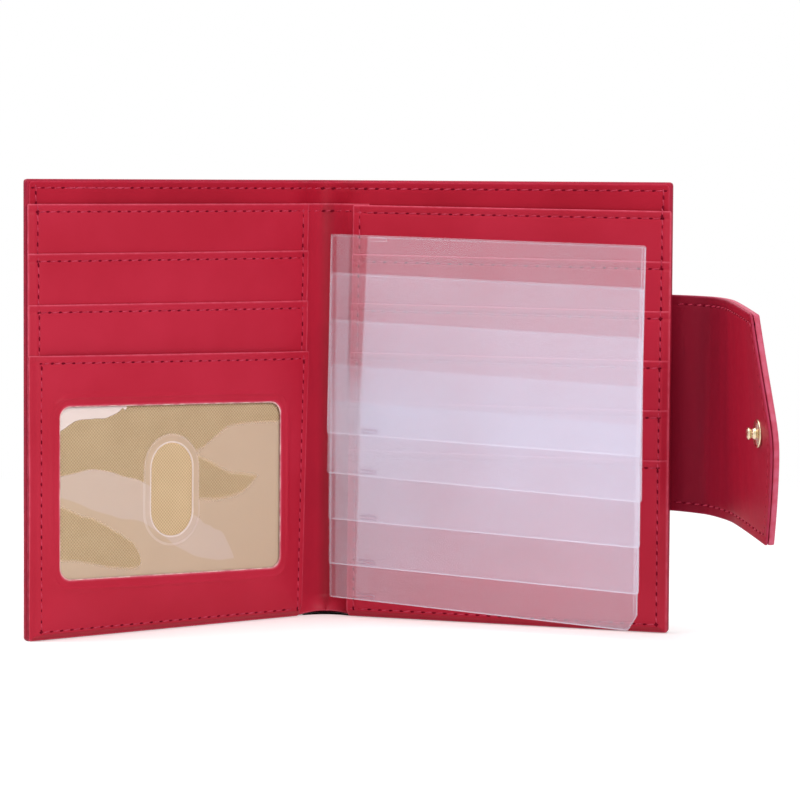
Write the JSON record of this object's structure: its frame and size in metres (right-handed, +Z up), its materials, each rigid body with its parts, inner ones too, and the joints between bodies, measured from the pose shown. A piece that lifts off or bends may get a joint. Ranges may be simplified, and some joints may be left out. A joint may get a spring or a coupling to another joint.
{
  "type": "card wallet",
  "caption": "Upright leather card wallet that opens like a book, with slip pockets, a clear window, a cascade of clear card sleeves, a bill pocket and a pointed tab with a snap.",
  "frame": {"origin": "foot of the spine cover, in the middle of its width and thickness, on the standing edge", "axes": "+Z up, +X across the open wallet towards the wing with the tab, -Y towards the reader"},
  "size_m": [0.2081, 0.1122, 0.13],
  "materials": {
    "leather": "smooth, semi-matt",
    "leather_lining": "smooth, matt",
    "board": "raw",
    "khaki": "fine plain weave",
    "film": "clear, slightly milky",
    "gold": "pale gold plating"
  },
  "bodies": {
    "spine": {"spine_cover": "leather", "spine_lining": "leather_lining", "spine_panel": "leather"},
    "front_wing": {"front_cover": "leather", "front_board": "board", "front_lining": "leather_lining", "front_bill_panel": "leather", "front_card_strip_1": "leather", "front_card_strip_2": "leather", "window_panel": "leather", "window_film": "film", "window_lining": "khaki", "snap_socket": "gold", "socket_rivet": "gold"},
    "back_wing": {"back_cover": "leather", "back_board": "board", "back_lining": "leather_lining", "back_bill_panel": "leather", "back_card_strip_1": "leather", "back_card_strip_2": "leather", "back_card_strip_3": "leather", "back_card_strip_4": "leather", "back_card_strip_5": "leather", "insert_tongue": "film", "tab_root": "leather"},
    "sleeve_5": {"sleeve_5_back": "film", "sleeve_5_front": "film"},
    "sleeve_4": {"sleeve_4_back": "film", "sleeve_4_front": "film"},
    "sleeve_3": {"sleeve_3_back": "film", "sleeve_3_front": "film"},
    "sleeve_2": {"sleeve_2_back": "film", "sleeve_2_front": "film"},
    "sleeve_1": {"sleeve_1_back": "film", "sleeve_1_front": "film"},
    "tab_bridge": {"tab_bridge_lining": "leather_lining", "tab_bridge_outer": "leather"},
    "tab_end": {"tab_end_lining": "leather_lining", "tab_end_outer": "leather", "snap_stud": "gold", "stud_rivet": "gold"}
  },
  "joints": [
    {"name": "front_fold", "type": "hinge", "parent": "spine", "child": "front_wing", "pos_m": [-0.0082, -0.0081, 0], "axis": [0, 0, 1], "range_deg": [-40.2, 49.8]},
    {"name": "back_fold", "type": "hinge", "parent": "spine", "child": "back_wing", "pos_m": [0.0082, -0.0081, 0], "axis": [0, 0, -1], "range_deg": [-21.5, 68.5]},
    {"name": "sleeve_5_turn", "type": "hinge", "parent": "back_wing", "child": "sleeve_5", "pos_m": [0.00096, -0.01202, 0], "axis": [0, 0, 1], "range_deg": [-30, 8.5]},
    {"name": "sleeve_4_turn", "type": "hinge", "parent": "sleeve_5", "child": "sleeve_4", "pos_m": [0.00053, -0.01276, 0], "axis": [0, 0, 1], "range_deg": [-30, 0]},
    {"name": "sleeve_3_turn", "type": "hinge", "parent": "sleeve_4", "child": "sleeve_3", "pos_m": [0.00011, -0.01349, 0], "axis": [0, 0, 1], "range_deg": [-30, 0]},
    {"name": "sleeve_2_turn", "type": "hinge", "parent": "sleeve_3", "child": "sleeve_2", "pos_m": [-0.00032, -0.01423, 0], "axis": [0, 0, 1], "range_deg": [-30, 0]},
    {"name": "sleeve_1_turn", "type": "hinge", "parent": "sleeve_2", "child": "sleeve_1", "pos_m": [-0.00074, -0.01496, 0], "axis": [0, 0, 1], "range_deg": [-30, 0]},
    {"name": "tab_root_bend", "type": "hinge", "parent": "back_wing", "child": "tab_bridge", "pos_m": [0.1014, -0.04325, 0], "axis": [0, 0, -1], "range_deg": [-43.5, 55.5]},
    {"name": "tab_end_bend", "type": "hinge", "parent": "tab_bridge", "child": "tab_end", "pos_m": [0.1144, -0.06253, 0], "axis": [0, 0, -1], "range_deg": [-25.5, 64.5]}
  ]
}
